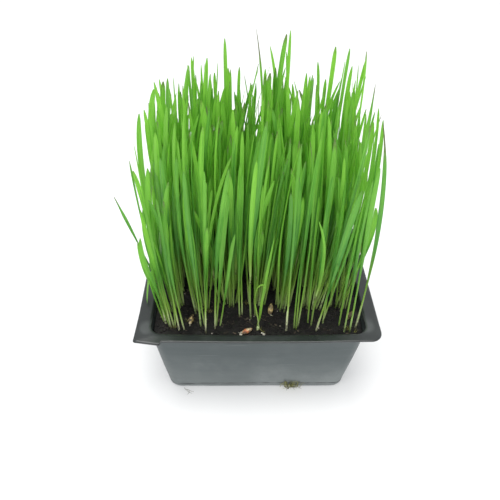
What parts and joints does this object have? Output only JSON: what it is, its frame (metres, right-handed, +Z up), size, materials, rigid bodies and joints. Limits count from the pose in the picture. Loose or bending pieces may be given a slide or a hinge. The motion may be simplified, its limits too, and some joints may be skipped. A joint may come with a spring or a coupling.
{
  "type": "wheatgrass tray",
  "caption": "Low rectangular plastic tray filled with soil, with a dense upright stand of young wheatgrass growing in it.",
  "frame": {"origin": "middle of the tray's flat underside, on the surface that the tray stands on", "axes": "+Z up along the grass, +X to the right along the tray's long side, -Y towards the front with the trimmed rim"},
  "size_m": [0.153, 0.1284, 0.206],
  "materials": {
    "plastic": "satin",
    "soil": "matte",
    "grass": "satin",
    "grain": "matte"
  },
  "bodies": {
    "root": {"tray": "plastic", "soil": "soil", "kernel_01": "grain", "kernel_02": "grain", "kernel_03": "grain", "kernel_04": "grain", "seedling": "grass", "clump_01": "grass", "clump_02": "grass", "clump_03": "grass", "clump_04": "grass", "clump_05": "grass", "clump_06": "grass", "clump_07": "grass", "clump_08": "grass", "clump_09": "grass", "clump_10": "grass", "clump_11": "grass", "clump_12": "grass", "clump_13": "grass", "clump_14": "grass", "clump_15": "grass", "clump_16": "grass", "clump_17": "grass", "clump_18": "grass", "clump_19": "grass", "clump_20": "grass", "clump_21": "grass", "clump_22": "grass", "clump_23": "grass", "clump_24": "grass", "clump_25": "grass", "clump_26": "grass", "clump_27": "grass", "clump_28": "grass", "clump_29": "grass", "clump_30": "grass", "clump_31": "grass", "clump_32": "grass", "clump_33": "grass", "clump_34": "grass", "clump_35": "grass", "clump_36": "grass", "clump_37": "grass", "clump_38": "grass", "clump_39": "grass", "clump_40": "grass", "clump_41": "grass", "clump_42": "grass", "clump_43": "grass", "clump_44": "grass", "clump_45": "grass", "clump_46": "grass", "clump_47": "grass", "clump_48": "grass"}
  },
  "joints": []
}
